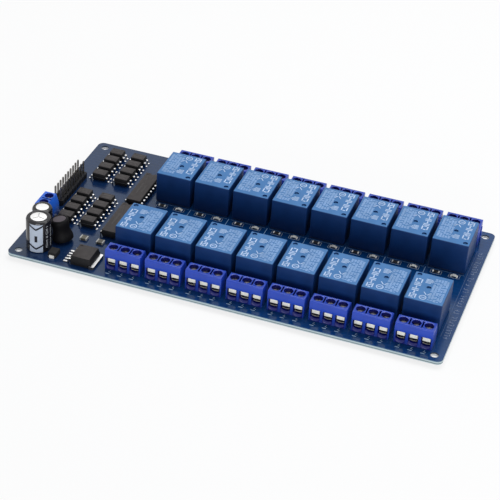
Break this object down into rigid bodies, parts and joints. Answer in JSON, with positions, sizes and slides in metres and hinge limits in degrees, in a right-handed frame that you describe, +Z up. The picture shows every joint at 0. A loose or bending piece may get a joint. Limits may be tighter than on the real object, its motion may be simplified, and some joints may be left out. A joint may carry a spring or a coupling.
{
  "type": "relay module board",
  "caption": "Circuit board with two rows of sealed relays, screw terminals beside each row, a pin header, optocouplers, driver chips and a power input corner.",
  "frame": {"origin": "middle of the four corner holes, on the board's underside", "axes": "+X along the relay rows, away from the input end; +Y towards the back row; +Z up, out of the component side"},
  "size_m": [0.18, 0.095, 0.0176],
  "materials": {
    "board_blue": "satin",
    "relay_blue": "satin",
    "relay_base": "matte",
    "terminal_violet": "satin",
    "terminal_blue": "satin",
    "clamp_metal": "satin",
    "screw_metal": "polished",
    "header_black": "matte",
    "header_metal": "polished",
    "chip_black": "matte",
    "lead_metal": "polished",
    "can_aluminium": "satin",
    "sleeve_black": "satin",
    "coil_core": "matte",
    "coil_sleeve": "matte",
    "chip_ceramic": "matte",
    "chip_resistor": "satin",
    "led_resin": "gloss",
    "solder": "polished"
  },
  "bodies": {
    "root": {"circuit_board": "board_blue", "relay_01": "relay_blue", "relay_02": "relay_blue", "relay_03": "relay_blue", "relay_04": "relay_blue", "relay_05": "relay_blue", "relay_06": "relay_blue", "relay_07": "relay_blue", "relay_08": "relay_blue", "relay_09": "relay_blue", "relay_10": "relay_blue", "relay_11": "relay_blue", "relay_12": "relay_blue", "relay_13": "relay_blue", "relay_14": "relay_blue", "relay_15": "relay_blue", "relay_16": "relay_blue", "terminal_housing_01": "terminal_violet", "terminal_housing_02": "terminal_violet", "terminal_housing_03": "terminal_violet", "terminal_housing_04": "terminal_violet", "terminal_housing_05": "terminal_violet", "terminal_housing_06": "terminal_violet", "terminal_housing_07": "terminal_violet", "terminal_housing_08": "terminal_violet", "terminal_housing_09": "terminal_violet", "terminal_housing_10": "terminal_violet", "terminal_housing_11": "terminal_violet", "terminal_housing_12": "terminal_violet", "terminal_housing_13": "terminal_violet", "terminal_housing_14": "terminal_violet", "terminal_housing_15": "terminal_violet", "terminal_housing_16": "terminal_violet", "power_terminal_housing": "terminal_blue", "relay_bases": "relay_base", "terminal_clamps": "clamp_metal", "terminal_screws": "screw_metal", "header_base": "header_black", "header_pins": "header_metal", "optocouplers": "chip_black", "optocoupler_leads": "lead_metal", "driver_chips": "chip_black", "driver_chip_leads": "lead_metal", "capacitor_large_can": "can_aluminium", "capacitor_large_sleeve": "sleeve_black", "capacitor_small_can": "can_aluminium", "capacitor_small_sleeve": "sleeve_black", "inductor_core": "coil_core", "inductor_sleeve": "coil_sleeve", "inductor_legs": "lead_metal", "diode_body": "chip_black", "diode_leads": "lead_metal", "regulator_body": "chip_black", "regulator_frame": "lead_metal", "chip_capacitors": "chip_ceramic", "chip_capacitor_ends": "lead_metal", "channel_resistors": "chip_resistor", "channel_leds": "led_resin", "terminal_joints": "solder", "inner_joints": "solder"}
  },
  "joints": []
}
